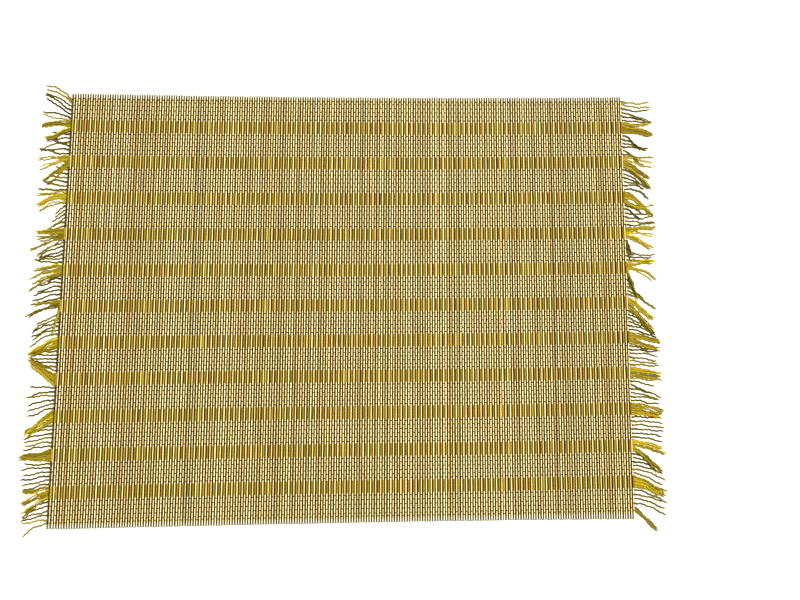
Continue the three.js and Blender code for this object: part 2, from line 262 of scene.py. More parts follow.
RIGHT_LOCKS = [Lock(*numbers) for numbers in (
    (2, 23.3, -1, -1.8, -0.8, 1.4), (1, 22.5, -1.6, -2.2, -1.4), (1, 24.5, -2, -5.6, -9.6, 0, 0.8),
    (1, 17.3, -0.6, -2, -2.4), (1, 22.3, -0.8, -2, -1.6), (2, 23.7, -0.8, -1.4, 1.4, 1.2, 0.6),
    (8, 24.3, -0.8, -2.6, -4.2, 3.4), (1, 14.3, -1.8, -6.4, -12, 0, 0.6), (1, 18.8, -1.6, -5.4, -8),
    (1, 20.3, -1.4, -3.8, -5.2), (1, 19.3, -0.2, -1, -3), (1, 13.3, -1.4, -5, -10, 0, 0.6),
    (1, 16.3, -1, -5.6, -9), (1, 24.7, 0.4, 0.2, -0.4, 0, 0.6), (1, 23.9, -0.4, -1.8, -3.6, 0, 0.6),
    (1, 24.1, -2, -4.8, -6, 0, 0.6), (4, 22.1, -2.8, -8, -12.4, 2), (3, 22.5, -3.2, -9.6, -16.6, 1.6),
    (1, 20.9, -2.6, -8.4, -14.4, 0, 0.6), (1, 19.3, -2, -6.8, -12), (1, 14.3, -1, -3.6, -8.4),
    (1, 12.3, -0.2, -0.4, -2), (1, 15.3, 0.4, 0.6, -1.6), (1, 19.9, 0.6, -1.6, -8, 0, 0.6),
    (7, 23.9, -1.8, -8.6, -15.6, 1.6), (3, 23.3, -3.6, -5.6, -2.6, 1.8, 0.7), (1, 14.3, -1, -3.2, -6),
    (1, 12.3, -1.2, -4.4, -8.8, 0, 0.6), (1, 20.3, -0.8, -1.4, -1), (1, 22.3, -1.2, -1.2, 0.8),
    (1, 23.5, -0.4, -1, -1.4), (1, 23.3, -0.2, 0.2, 1.4), (4, 24.9, 0.4, 1.6, 1.4, 1.8),
    (2, 22.7, 0.2, -1.4, -2.4, 1.2), (4, 21.7, -1.6, -5.8, -9.4, 2.2), (1, 4.3, -2, -6, -10, 0, 0.6),
    (1, 2.7, -2.4, -6.8, -12), (1, 6.3, -1.4, -4, -5.6), (1, 23.3, -1.2, -2.4, -1.6),
    (1, 20.3, -0.8, -2, -2.2), (1, 18.3, -0.6, -1.4, -1.8), (4, 24.1, 0.6, 2.2, 2.8, 2.6),
    (3, 22.9, -0.6, -3.6, -8.8, 1.4), (3, 8.1, -5, -13, -21, 1.6, 0.8), (1, 4.9, -1.4, -3.2, -6.4),
    (1, 4.5, -1.2, -3.2, -6), (1, 5.3, -1, -2.8, -5.6), (1, 13.3, -1.8, -5.6, -10.4),
    (1, 14.3, -1.6, -4.8, -9.2), (1, 22.1, -2, -6.6, -12, 0, 0.6), (5, 19.9, -3.6, -9.6, -15.6, 2),
    (5, 19.5, -5, -12.2, -19.4, 2.2, 0.6), (1, 16.3, -3, -7.6, -12.6), (1, 17.3, -2.6, -7.2, -13),
    (1, 19.3, -2.2, -6.4, -12), (1, 20.3, -1.8, -5, -9.4), (1, 21.3, -1.4, -4, -7.6),
    (1, 22.3, -1.2, -3.4, -6.2), (6, 24.5, -1.2, -3.2, -5, 2.6), (4, 23.9, -1.6, -4.2, -6.6, 2.4),
    (1, 21.3, -1, -2.4, -3.6), (1, 22.1, -0.6, -1.6, -2.4), (1, 21.9, -0.4, -1.2, -2.2),
    (1, 20.7, -0.8, -2.2, -3.4), (1, 22.3, -0.4, -1.4, -2.4), (1, 23.1, -0.6, -1.2, -1.6),
    (6, 25.3, -0.8, -2.4, -3.9, 2.8), (4, 24, -0.5, -1.4, -2.4, 2.4), (1, 18.3, -0.8, -2.8, -5.4),
    (1, 16.3, -1.6, -5, -6.2, 0, 0.6), (1, 22.7, -1.2, -3.6, -7), (1, 21.3, -0.8, -2.6, -4.4),
    (1, 22.3, -0.4, -1.6, -3), (1, 21.9, -0.6, -2.2, -3.8), (2, 25.2, -1.2, -3.4, -6, 1.2, 0.6),
    (4, 24, -1.4, -4.2, -6.4, 2), (4, 23.6, -0.8, -2.2, -3.4, 2), (1, 24.1, -0.4, -0.8, -1),
    (1, 24.9, -0.4, -1.2, -1.8), (1, 24.7, -0.2, -1.2, -2.4), (1, 23.9, -0.4, -0.8, -1.2),
    (1, 23.3, -0.6, -1.6, -2.6), (1, 22.7, -0.6, -1.8, -3.4), (3, 25.9, -1, -3, -5, 1.6),
    (3, 25.1, -1.2, -4.2, -7.4, 1.6), (4, 21.8, -3.2, -10.2, -17.6, 1.8, 0.6),
    (1, 19.3, -1.8, -5.4, -10), (1, 21.3, -1.4, -4.4, -8.2), (1, 22.3, -1.2, -4, -7),
    (1, 23.3, -1.2, -3.8, -6.6), (1, 24.3, -1.6, -4.6, -8.2), (1, 23.3, -1.6, -5, -9),
    (5, 25, -2.4, -6.8, -10.7, 2.2, 0.4), (5, 24.6, -1.6, -4.8, -8, 2.2), (1, 21.7, -1.4, -4, -7.2),
    (1, 24.3, -1.4, -3.8, -6.6), (1, 22.9, -1.4, -4, -7.2), (1, 23.9, -1.6, -5, -9.8),
    (2, 16.9, -4.6, -10.6, -15.4, 1, 0.6),
)]


def metres(name, description, default):
    """A setting that holds a length."""
    return FloatProperty(name=name, description=description, default=default, unit="LENGTH")


def degrees(name, description, default):
    """A setting that holds an angle, with its default in degrees."""
    turn = math.radians(default)
    return FloatProperty(name=name, description=description, default=turn, subtype="ANGLE")


def paint(name, description, default):
    """A setting that holds a colour (linear)."""
    return FloatVectorProperty(name=name, description=description, default=default, subtype="COLOR")


class MatSizes(bpy.types.PropertyGroup):
    """The sizes of the woven body."""

    body_width: metres("Body width", "Across all the slats", 0.430)
    slat_spread: metres("Slat spread", "How much further right the last slats lie", 0.0017)
    slat_length: metres("Slat length", "At the middle of the mat", 0.326)
    slat_count: IntProperty(name="Slats", description="How many slats lie side by side", default=230)
    slat_width: metres("Slat width", "Mean width of a slat", 0.00172)
    # The first slat is a narrow dark strip of painted shade along the mat's left edge
    shade_strip_width: metres("Bark width", "Width of the dark first slat", 0.0006)
    slat_thickness: metres("Slat thickness", "Mean height of a slat", 0.0011)
    slat_rise: metres("Slat rise", "Room under the slats for the threads", 0.00044)
    lean: metres("Lean", "Sideways lean of the slats at their top end", 0.0033)
    lean_fan: metres("Lean fan", "How much more the left slats lean", 0.00135)
    end_bow: metres("End bow", "How far the slat ends reach further at the corners", 0.0016)
    short_corner: FloatProperty(
        name="Short corner", description="Share of the bow at the lower left corner", default=0.2,
        subtype="FACTOR",
    )


class WarpSizes(bpy.types.PropertyGroup):
    """The sizes and spacing of the warp threads."""

    band_period: metres("Band period", "From one golden band to the next", 0.02753)
    top_band: metres("Top band", "Height of the first band on the mat", 0.138)
    band_width: metres("Band width", "Width of a golden band", 0.0092)
    band_threads: IntProperty(name="Band threads", description="Threads in a golden band", default=10)
    strip_threads: IntProperty(name="Strip threads", description="Single threads in a strip", default=6)
    band_margin: metres("Band margin", "From a band to the next single thread", 0.00175)
    edge_pitch: metres("Edge pitch", "Between single threads at the mat's edge", 0.00325)
    selvedge_pitch: metres("Selvedge pitch", "Between the outermost two threads", 0.0022)
    row_bow: metres("Row bow", "How far the top rows sink in the middle of the mat", 0.0013)
    row_tilt: metres("Row tilt", "How far the bottom rows rise at the right", 0.00045)
    selvedge_margin: metres("Selvedge margin", "Reach of the outermost thread from the slat ends", 0.004)
    selvedge_width: metres("Selvedge width", "Width of the outermost thread", 0.00105)
    thread_width: metres("Thread width", "Width of a woven thread", 0.00070)
    thread_height: metres("Thread height", "Height of a woven thread", 0.00042)


class FringeSizes(bpy.types.PropertyGroup):
    """The sizes of the loose thread ends."""

    strand_width: metres("Strand width", "Width of a loose strand", 0.00120)
    strand_height: metres("Strand height", "Height of a loose strand", 0.00070)
    crimp: metres("Crimp", "Depth of the waves left by the weave", 0.00020)
    sway: metres("Sway", "Depth of a strand's slow waves", 0.00028)
    fibre_length: metres("Fibre length", "Length of the frayed fibres at a tip", 0.0022)


class MatColours(bpy.types.PropertyGroup):
    """The colours of wood and thread, of the shade painted on them, and of the table."""

    # A dark strip of painted shade that stands in for the first slat along the mat's left edge
    shade_strip: paint("Shade strip", "Dark first slat", (0.07, 0.042, 0.008))
    # Painted shade: a warm tint on each slat's rounded edges, between its lit top and its shaded sides
    painted_edge_shade: paint("Slat edges", "Warmer wood beside a slat's dark sides", (0.50, 0.335, 0.008))
    # Painted shade on the sides of the slats, where they face each other across the narrow gaps
    painted_side_shade: paint("Slat sides", "Rough sides of the slats", (0.030, 0.016, 0.001))
    end_wood: paint("Slat ends", "Paler wood beyond the last thread", (0.67, 0.61, 0.44))
    # The same painted shade on the slat sides beyond the last thread, a little lighter
    painted_end_side_shade: paint(
        "Sides of slat ends", "Sides of the slats beyond the last thread", (0.035, 0.025, 0.012)
    )
    thread_gold: paint("Golden thread", "Main colour of the cotton", (0.36, 0.262, 0.010))
    thread_olive: paint("Olive thread", "Greener cotton", (0.28, 0.225, 0.012))
    thread_brown: paint("Brown thread", "Redder cotton", (0.34, 0.16, 0.016))
    thread_single: paint("Single thread", "Darker cotton of the single threads", (0.095, 0.070, 0.006))
    loose_gold: paint("Loose gold", "Loose ends of the golden bands", (0.39, 0.290, 0.006))
    loose_olive: paint("Loose olive", "Loose ends of the single threads", (0.058, 0.047, 0.001))
    table: paint("Table", "Surface under the mat", (0.86, 0.82, 0.66))


class StageSizes(bpy.types.PropertyGroup):
    """The table, the light and the camera."""

    table_width: metres("Table width", "Side of the square table top", 60.0)
    sky: FloatProperty(name="Sky", description="Strength of the light from all round", default=0.52)
    sun: FloatProperty(name="Sun", description="Strength of the light from the right", default=6.45)
    sun_height: degrees("Sun height", "Angle of the light above the table", 50)
    sun_bearing: degrees("Sun bearing", "Direction that the light comes from", 36)
    sun_blur: degrees("Sun blur", "How wide the light is", 14)
    lens: FloatProperty(name="Lens", description="Focal length in millimetres", default=45.0)


# A slat: its place, its width and thickness, the heights of its two ends on the mat, its colour
Slat = namedtuple("Slat", "x width thickness low high colour")
# A warp thread: its height on the mat, the unit that it weaves with, and its golden band or None
Row = namedtuple("Row", "y unit band")


def lean(x, y):
    """How far the slat at x has moved sideways at height y."""
    mat = bpy.context.scene.mat_sizes
    return (mat.lean - mat.lean_fan * x / (mat.body_width / 2)) * y / (mat.slat_length / 2)


def end_y(x, share=1):
    """Mean distance of the slat ends from the mat's middle line at x, with a share of the bow."""
    mat = bpy.context.scene.mat_sizes
    return mat.slat_length / 2 + share * mat.end_bow * (x / (mat.body_width / 2)) ** 2


def stray(draw, most):
    """A random distance of up to most millimetres either way, in metres."""
    return draw.uniform(-most, most) * MM


def smooth_waves(waves, across, up):
    """How far smooth random waves reach at one place."""
    return waves.depth * noise.noise(Vector((across * waves.across, up * waves.up, waves.layer)))


def slat_list():
    """Every slat with its own place, size and colour, the first a dark strip of painted shade. The same
    list each time it is called.
    """
    mat = bpy.context.scene.mat_sizes
    draw = random.Random(SLAT_SEED)
    kinds = [kind.colour for kind in SLAT_KINDS]
    shares = [kind.share for kind in SLAT_KINDS]
    first = mat.shade_strip_width + SHADE_STRIP_GAP + (mat.slat_width - mat.body_width) / 2
    last = (mat.body_width - mat.slat_width) / 2 + mat.slat_spread
    pitch = (last - first) / (mat.slat_count - 2)
    slats = []
    for i in range(mat.slat_count):
        x = first + (i - 1) * pitch + stray(draw, SLAT_STRAY)
        width = mat.slat_width * draw.uniform(*SLAT_WIDTHS)
        thickness = mat.slat_thickness * draw.uniform(*SLAT_THICKNESSES)
        bow_share = mat.short_corner if x < 0 else 1
        low = -end_y(x, bow_share) + stray(draw, LOW_END_STRAY)
        high = end_y(x) + stray(draw, HIGH_END_STRAY)
        colour = Vector(draw.choices(kinds, shares)[0]) * draw.uniform(*SLAT_SHADES)
        if i in ODD_SLATS:
            colour = Vector(ODD_SLATS[i])
        # The first slat is a narrow dark strip at the left edge: painted shade in place of the slat's
        # own wood
        if i == 0:
            width = mat.shade_strip_width
            x = (width - mat.body_width) / 2
            colour = Vector(bpy.context.scene.mat_colours.shade_strip)
        slats.append(Slat(x, width, thickness, low, high, colour))
    return slats


def thread_rows():
    """Every warp thread from the top down, as rows.

    A golden band weaves as one unit and each single thread as one of its own, and each unit goes
    over the slats that the one before it goes under.
    """
    warp = bpy.context.scene.warp_sizes
    bands = [warp.top_band - k * warp.band_period + shift * MM for k, shift in enumerate(BAND_SHIFTS)]
    half = warp.band_width / 2
    pitch = warp.band_width / warp.band_threads
    count = warp.strip_threads
    offsets = [j * warp.edge_pitch for j in range(count - 1)]
    offsets.append(offsets[-1] + warp.selvedge_pitch)
    rows = []
    unit = 0
    for k in range(len(bands) + 1):
        if k == 0:
            strip = [bands[0] + half + warp.band_margin + offset for offset in reversed(offsets)]
        elif k == len(bands):
            strip = [bands[-1] - half - warp.band_margin - offset for offset in offsets]
        else:
            first = bands[k - 1] - half - warp.band_margin
            last = bands[k] + half + warp.band_margin
            strip = [first + (last - first) * j / (count - 1) for j in range(count)]
        for y in strip:
            rows.append(Row(y, unit, None))
            unit += 1
        if k < len(bands):
            for j in range(warp.band_threads):
                rows.append(Row(bands[k] + half - (j + 0.5) * pitch, unit, k))
            unit += 1
    return rows


def in_selvedge(row, rows):
    """Whether a thread is one of the outermost two at the top or the bottom of the mat."""
    return row in (*rows[:2], *rows[-2:])


def wander(x, y):
    """How far a warp thread strays up or down from its row at x.

    The top rows sink in the middle of the mat, and the bottom rows rise from left to right.
    """
    scene = bpy.context.scene
    across = x / (scene.mat_sizes.body_width / 2)
    up = y / (scene.mat_sizes.slat_length / 2)
    bow = -scene.warp_sizes.row_bow * (1 - across ** 2) * (1 + up) / 2
    tilt = scene.warp_sizes.row_tilt * across * (1 - up) / 2
    return bow + tilt + smooth_waves(ROW_WAVES, x, y)


def thread_z(slat, number, row):
    """The height of a thread's middle at a slat: above the slat or below it, in turn."""
    rise = bpy.context.scene.mat_sizes.slat_rise
    half = bpy.context.scene.warp_sizes.thread_height / 2
    over = (number + row.unit) % 2 == 1
    return rise + slat.thickness + half if over else rise - half


def add_object(name, data):
    """A new object in the scene."""
    new = bpy.data.objects.new(name, data)
    bpy.context.scene.collection.objects.link(new)
    return new


def to_mesh(name, bm):
    """The bmesh as a mesh. The bmesh itself is freed."""
    mesh = bpy.data.meshes.new(name)
    bm.to_mesh(mesh)
    bm.free()
    return mesh


def append_mesh(bm, mesh):
    """Adds a mesh to the bmesh and gives back its new vertices."""
    start = len(bm.verts)
    bm.from_mesh(mesh)
    bm.verts.ensure_lookup_table()
    return bm.verts[start:]


def sweep(points, section, radii=None):
    """The mesh of a closed tube along points, with the section given as (across, up) pairs."""
    profile = bpy.data.curves.new("section", "CURVE")
    profile.dimensions = "2D"
    ring = profile.splines.new("POLY")
    ring.points.add(len(section) - 1)
    for point, (across, up) in zip(ring.points, section):
        point.co = (across, up, 0, 1)
    ring.use_cyclic_u = True
    profile_object = add_object("section", profile)
    path = bpy.data.curves.new("path", "CURVE")
    path.dimensions = "3D"
    path.twist_mode = "Z_UP"
    path.bevel_mode = "OBJECT"
    path.bevel_object = profile_object
    path.use_fill_caps = True
    spline = path.splines.new("POLY")
    spline.points.add(len(points) - 1)
    for index, (point, place) in enumerate(zip(spline.points, points)):
        point.co = (*place, 1)
        point.radius = radii[index] if radii else 1
    path_object = add_object("path", path)
    graph = bpy.context.evaluated_depsgraph_get()
    mesh = bpy.data.meshes.new_from_object(path_object.evaluated_get(graph))
    bpy.data.objects.remove(path_object)
    bpy.data.objects.remove(profile_object)
    bpy.data.curves.remove(path)
    bpy.data.curves.remove(profile)
    return mesh


def finish_piece(name, bm, material, nodes=()):
    """Makes the bmesh a shaded piece that rides on the mat and stands for the named nodes."""
    mesh = to_mesh(name, bm)
    mesh.materials.append(material)
    mesh.shade_smooth()
    mesh.set_sharp_from_angle(angle=SHARP_ANGLE)
    piece = add_object(name, mesh)
    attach(piece, BODY)
    if nodes:
        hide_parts(*nodes)


def finish_threads(name, bm, material, nodes=()):
    """Closes the tubes in the bmesh and makes them a piece."""
    bmesh.ops.remove_doubles(bm, verts=bm.verts, dist=JOIN_DISTANCE)
    bmesh.ops.recalc_face_normals(bm, faces=bm.faces)
    finish_piece(name, bm, material, nodes)


def new_material(name):
    """A new material with its node tree and its Principled shader."""
    material = bpy.data.materials.new(name)
    material.use_nodes = True
    tree = material.node_tree
    return material, tree, next(node for node in tree.nodes if node.type == "BSDF_PRINCIPLED")


def add_node(tree, kind, values=None, **settings):
    """A node of that kind with its settings, and with plain values for some of its inputs."""
    node = tree.nodes.new(kind)
    for name, setting in settings.items():
        setattr(node, name, setting)
    for name, value in (values or {}).items():
        node.inputs[name].default_value = value
    return node


def feed(tree, socket, value):
    """Links a node's output to the socket, or gives the socket a plain number or colour."""
    if isinstance(value, bpy.types.NodeSocket):
        tree.links.new(value, socket)
    elif isinstance(value, (int, float)):
        socket.default_value = value
    else:
        socket.default_value = (*value, 1)


def calculate(tree, operation, first, second=0, clamp=False):
    """The result of a sum on one or two numbers."""
    node = add_node(tree, "ShaderNodeMath", operation=operation, use_clamp=clamp)
    feed(tree, node.inputs[0], first)
    feed(tree, node.inputs[1], second)
    return node.outputs["Value"]


def ramp(tree, value, begin, full, start=0, stop=1, smooth=False):
    """A number that goes from start to stop while value goes from begin to full."""
    kind = "SMOOTHSTEP" if smooth else "LINEAR"
    node = add_node(tree, "ShaderNodeMapRange", interpolation_type=kind)
    inputs = {"Value": value, "From Min": begin, "From Max": full, "To Min": start, "To Max": stop}
    for name, given in inputs.items():
        feed(tree, node.inputs[name], given)
    return node.outputs["Result"]


def coordinate(tree, space, axis):
    """One axis of the surface's place (space "Object") or of its direction (space "Normal")."""
    place = add_node(tree, "ShaderNodeTexCoord")
    split = add_node(tree, "ShaderNodeSeparateXYZ")
    feed(tree, split.inputs[0], place.outputs[space])
    return split.outputs[axis]


def mix(tree, mask, first, second, blend="MIX"):
    """A colour mix: first where mask is 0 and second where it is 1.

    A colour mix has its mask as input 0, its colours as inputs 6 and 7, and its result as output 2.
    """
    node = add_node(tree, "ShaderNodeMix", data_type="RGBA", blend_type=blend)
    for number, value in ((0, mask), (6, first), (7, second)):
        feed(tree, node.inputs[number], value)
    return node.outputs[2]


def multiply(tree, first, second):
    """The product of two colours."""
    return mix(tree, 1.0, first, second, "MULTIPLY")


def new_group(name, inputs):
    """A shader node group that puts out a mask: the group, its inputs and its output.

    The group's inputs are given with their defaults, a number or three numbers each.
    """
    group = bpy.data.node_groups.new(name, "ShaderNodeTree")
    for label, default in inputs.items():
        kind = "NodeSocketVector" if isinstance(default, tuple) else "NodeSocketFloat"
        socket = group.interface.new_socket(name=label, in_out="INPUT", socket_type=kind)
        socket.default_value = default
    group.interface.new_socket(name="Mask", in_out="OUTPUT", socket_type="NodeSocketFloat")
    given = add_node(group, "NodeGroupInput")
    result = add_node(group, "NodeGroupOutput")
    return group, given.outputs, result.inputs["Mask"]


def streak_group():
    """Fine streaks along one axis: grain in wood, or fibres in thread. Built once."""
    name = "Fine streaks"
    if name in bpy.data.node_groups:
        return bpy.data.node_groups[name]
    group, given, mask = new_group(name, {"Scale": (900, 20, 900), "Contrast": 1})
    place = add_node(group, "ShaderNodeTexCoord")
    stretch = add_node(group, "ShaderNodeVectorMath", operation="MULTIPLY")
    cloud = add_node(group, "ShaderNodeTexNoise", {"Scale": 1, "Detail": 3, "Roughness": 0.6})
    feed(group, stretch.inputs[0], place.outputs["Object"])
    feed(group, stretch.inputs[1], given["Scale"])
    feed(group, cloud.inputs["Vector"], stretch.outputs["Vector"])
    centred = calculate(group, "SUBTRACT", cloud.outputs["Fac"], 0.5)
    strong = calculate(group, "MULTIPLY", centred, given["Contrast"])
    feed(group, mask, calculate(group, "ADD", strong, 0.5, clamp=True))
    return group


def level_group():
    """How far a surface turns away from level: 0 on top and 1 on the sides. Built once."""
    name = "Turned aside"
    if name in bpy.data.node_groups:
        return bpy.data.node_groups[name]
    group, given, mask = new_group(name, {"Begin": 0.9, "End": 0.3})
    level = calculate(group, "ABSOLUTE", coordinate(group, "Normal", "Z"))
    feed(group, mask, ramp(group, level, given["Begin"], given["End"], smooth=True))
    return group


def streaks(tree, scale, contrast):
    """The mask of fine streaks in a material."""
    values = {"Scale": scale, "Contrast": contrast}
    return add_node(tree, "ShaderNodeGroup", values, node_tree=streak_group()).outputs["Mask"]


def turned_aside(tree, limits):
    """The mask of the surfaces in a material that turn aside, between two limits."""
    begin, end = limits
    values = {"Begin": begin, "End": end}
    return add_node(tree, "ShaderNodeGroup", values, node_tree=level_group()).outputs["Mask"]


def add_bump(tree, shader, height, strength, distance):
    """Raises fine relief on the shader's surface."""
    bump = add_node(tree, "ShaderNodeBump", {"Strength": strength, "Distance": distance})
    feed(tree, bump.inputs["Height"], height)
    feed(tree, shader.inputs["Normal"], bump.outputs["Normal"])


def slat_material():
    """Split wood: each slat's own colour with grain along it, painted shade on its sides, and a warm
    painted shade on its rounded edges.
    """
    colours = bpy.context.scene.mat_colours
    material, tree, shader = new_material("split_wood")
    own = add_node(tree, "ShaderNodeAttribute", attribute_name="slat_colour").outputs["Color"]
    grain = streaks(tree, (2600, 26, 2600), 2)
    patches = streaks(tree, (700, 60, 300), 1.6)
    grained = multiply(tree, own, mix(tree, grain, *GRAIN_TINTS))
    faced = multiply(tree, grained, mix(tree, patches, *PATCH_TINTS))
    # Painted shade: the rounded edges are tinted warmer and darker than the top
    warm = multiply(tree, faced, tuple(colours.painted_edge_shade))
    edged = mix(tree, turned_aside(tree, SLAT_EDGE_SHADE_MASK), faced, warm)
    outward = calculate(tree, "ABSOLUTE", coordinate(tree, "Object", "Y"))
    ends = ramp(tree, outward, *SLAT_END_MASK)
    top = mix(tree, ends, edged, tuple(colours.end_wood))
    # Painted shade: the sides of the slats take a dark colour in place of the wood
    sides = mix(tree, ends, tuple(colours.painted_side_shade), tuple(colours.painted_end_side_shade))
    wood = mix(tree, turned_aside(tree, SLAT_SIDE_SHADE_MASK), top, sides)
    feed(tree, shader.inputs["Base Color"], wood)
    feed(tree, shader.inputs["Roughness"], ramp(tree, grain, 0, 1, start=0.65, stop=0.5))
    shader.inputs["Specular IOR Level"].default_value = 0.04
    add_bump(tree, shader, grain, strength=0.5, distance=0.04 * MM)
    return material


def thread_material(woven):
    """Twisted cotton: each stitch or strand in its own colour, with fine diagonal plies.

    Painted shade darkens the sides of each thread. Woven threads also get painted shade where they dive
    between the slats, and a browner painted shade on their left faces, away from the light.
    """
    name = "woven_cotton" if woven else "loose_cotton"
    if name in bpy.data.materials:
        return bpy.data.materials[name]
    material, tree, shader = new_material(name)
    own = add_node(tree, "ShaderNodeAttribute", attribute_name="thread_colour").outputs["Color"]
    place = add_node(tree, "ShaderNodeTexCoord")
    turn = add_node(tree, "ShaderNodeMapping", {"Rotation": (0, 0, math.radians(38))})
    wave = {"Scale": 210, "Distortion": 1.4, "Detail": 2, "Detail Scale": 2.5}
    plies = add_node(tree, "ShaderNodeTexWave", wave)
    feed(tree, turn.inputs["Vector"], place.outputs["Object"])
    feed(tree, plies.inputs["Vector"], turn.outputs["Vector"])
    fibres = streaks(tree, (900, 4200, 4200), 1.4)
    plied = multiply(tree, own, mix(tree, plies.outputs["Fac"], *PLY_TINTS))
    cotton = multiply(tree, plied, mix(tree, fibres, *FIBRE_TINTS))
    # Painted shade: the sides of each thread turn darker
    dark = multiply(tree, cotton, WOVEN_SIDE_SHADE_TINT if woven else LOOSE_SIDE_SHADE_TINT)
    sides = turned_aside(tree, WOVEN_SIDE_SHADE_MASK if woven else LOOSE_SIDE_SHADE_MASK)
    cotton = mix(tree, sides, cotton, dark)
    if woven:
        slope = coordinate(tree, "Normal", "X")
        # Painted shade: faces turned left, away from the light from the right, are browner
        left = ramp(tree, slope, *LEFT_SHADE_MASK, smooth=True)
        # Painted shade: where a thread dives steeply between two slats it turns dark
        dives = ramp(tree, calculate(tree, "ABSOLUTE", slope), *DIVE_SHADE_MASK, smooth=True)
        cotton = mix(tree, left, cotton, multiply(tree, cotton, LEFT_SHADE_TINT))
        cotton = mix(tree, dives, cotton, multiply(tree, cotton, DIVE_SHADE_TINT))
    feed(tree, shader.inputs["Base Color"], cotton)
    shader.inputs["Roughness"].default_value = 0.82
    shader.inputs["Specular IOR Level"].default_value = 0.08
    add_bump(tree, shader, plies.outputs["Fac"], strength=0.8, distance=0.12 * MM)
    return material


def slat_template(mat):
    """One straight slat of mean width and height and of unit length, with rounded long edges."""
    bm = bmesh.new()
    bmesh.ops.create_cube(bm, size=1)
    bmesh.ops.scale(bm, vec=(mat.slat_width, 1, mat.slat_thickness), verts=bm.verts)

    def long_edges():
        return [e for e in bm.edges if abs((e.verts[0].co - e.verts[1].co).y) > 0.5]

    bmesh.ops.bevel(
        bm, geom=long_edges(), offset=SLAT_ROUNDING * mat.slat_thickness, offset_type="OFFSET",
        segments=ROUNDING_STEPS, profile=0.5, affect="EDGES", material=-1,
    )
    bmesh.ops.subdivide_edges(bm, edges=long_edges(), cuts=SLAT_CUTS)
    return to_mesh("slat_template", bm)


class MAT_OT_slats(bpy.types.Operator):
    """Makes all the slats, each a little different in place, width and colour"""

    bl_idname = "placemat.slats"
    bl_label = "Slats"

    def execute(self, context):
        mat = context.scene.mat_sizes
        template = slat_template(mat)
        bm = bmesh.new()
        layer = bm.verts.layers.float_color.new("slat_colour")
        for i, slat in enumerate(slat_list()):
            middle = mat.slat_rise + slat.thickness / 2
            for vert in append_mesh(bm, template):
                y = slat.low + (vert.co.y + 0.5) * (slat.high - slat.low)
                bend = smooth_waves(SLAT_WAVES, i, y)
                x = slat.x + lean(slat.x, y) + bend + vert.co.x * slat.width / mat.slat_width
                z = middle + vert.co.z * slat.thickness / mat.slat_thickness
                vert.co = (x, y, z)
                vert[layer] = (*slat.colour, 1)
        bpy.data.meshes.remove(template)
        finish_piece("slats", bm, slat_material(), [PANEL_NODE])
        return {"FINISHED"}


def woven_thread(row, slats):
    """The mesh of one warp thread between the outermost slats, over and under them in turn."""
    scene = bpy.context.scene
    warp = scene.warp_sizes
    reach = STITCH_REACH * scene.mat_sizes.slat_width
    points = []
    for number, slat in enumerate(slats):
        x = slat.x + lean(slat.x, row.y)
        y = row.y + wander(x, row.y)
        z = thread_z(slat, number, row)
        points.append((x - reach, y, z))
        points.append((x + reach, y, z))
    if row.band is not None:
        width = BAND_FILL * warp.band_width / warp.band_threads
    elif abs(row.y) > end_y(0) - warp.selvedge_margin:
        width = warp.selvedge_width
    else:
        width = warp.thread_width
    half = warp.thread_height / 2
    return sweep(points, ((-width / 2, 0), (0, -half), (width / 2, 0), (0, half)))


def add_threads(rows, slats, colours, name, nodes=()):
    """One piece of the warp threads in rows: for each row, a colour for each slat that it crosses."""
    bm = bmesh.new()
    layer = bm.verts.layers.float_color.new("thread_colour")
    borders = [(slat.x + after.x) / 2 for slat, after in zip(slats, slats[1:])]
    for row, stitches in zip(rows, colours):
        mesh = woven_thread(row, slats)
        for vert in append_mesh(bm, mesh):
            number = bisect(borders, vert.co.x - lean(vert.co.x, row.y))
            vert[layer] = (*stitches[number], 1)
        bpy.data.meshes.remove(mesh)
    finish_threads(name, bm, thread_material(woven=True), nodes)


def thread_colour(tone, shade=1.0):
    """The cotton's colour: olive at tone 0, golden at 0.5 and brown at 1."""
    colours = bpy.context.scene.mat_colours
    gold = Vector(colours.thread_gold)
    other = Vector(colours.thread_olive) if tone < 0.5 else Vector(colours.thread_brown)
    return gold.lerp(other, min(abs(tone - 0.5) * 2, 1)) * shade


def single_colour(draw, selvedge):
    """The colour of a stitch of single thread, a little different from the next."""
    if selvedge:
        return thread_colour(draw.uniform(*SELVEDGE_TONES), draw.uniform(*SELVEDGE_SHADES))
    single = Vector(bpy.context.scene.mat_colours.thread_single)
    mixed = single.lerp(thread_colour(SINGLE_TONE), draw.uniform(*SINGLE_GOLD_SHARES))
    return mixed * draw.uniform(*SINGLE_SHADES)


def loose_colour(draw, banded, selvedge, side):
    """The colour of one loose strand, of a golden band or selvedge or of a single thread."""
    colours = bpy.context.scene.mat_colours
    gold = Vector(colours.loose_gold)
    olive = Vector(colours.loose_olive)
    if selvedge:
        return gold.lerp(olive, draw.uniform(*SELVEDGE_END_SHARES)) * draw.uniform(*SELVEDGE_END_SHADES)
    if banded:
        return gold.lerp(olive, draw.uniform(*BAND_END_SHARES[side])) * draw.uniform(*BAND_END_SHADES)
    return olive.lerp(gold, draw.uniform(*SINGLE_END_SHARES)) * draw.uniform(*SINGLE_END_SHADES)


def stitch_tones(count):
    """How olive (0) or brown (1) the threads look where they cross each slat."""
    draw = random.Random(TONE_SEED)
    return [min(max(draw.gauss(STITCH_TONE, STITCH_TONE_SPREAD), 0), 1) for _ in range(count)]


